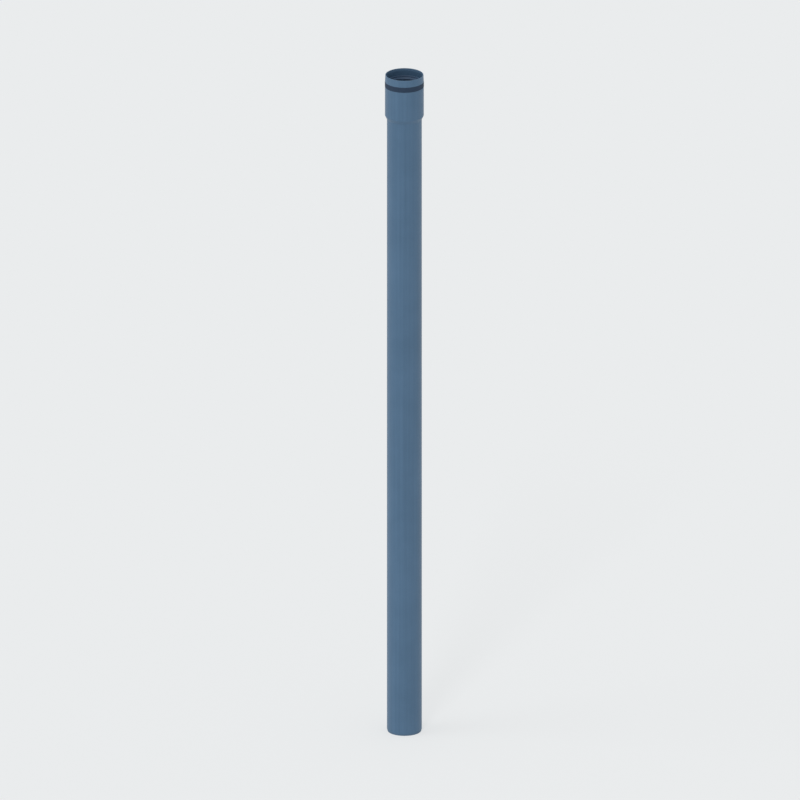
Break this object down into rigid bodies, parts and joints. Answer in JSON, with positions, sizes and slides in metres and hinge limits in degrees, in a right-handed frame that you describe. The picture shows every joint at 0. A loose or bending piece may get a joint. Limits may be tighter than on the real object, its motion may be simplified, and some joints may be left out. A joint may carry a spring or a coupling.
{
  "type": "sewer pipe",
  "caption": "Straight push-fit plastic drain pipe: a plain bevelled end, a belled socket and a rubber sealing ring keyed into the socket wall.",
  "frame": {"origin": "centre of the plain end's face, which is the foot that the pipe stands on", "axes": "+Z along the pipe's axis, from the plain end up to the socket's mouth; X and Y are free, because the pipe is round"},
  "size_m": [0.056, 0.056, 1],
  "materials": {
    "pipe_plastic": "blue-grey polypropylene, satin, extruded, with faint lines along the pipe",
    "seal_rubber": "dark blue-grey moulded elastomer, matt"
  },
  "bodies": {
    "root": {"pipe": "pipe_plastic", "seal_ring": "seal_rubber"}
  },
  "joints": []
}
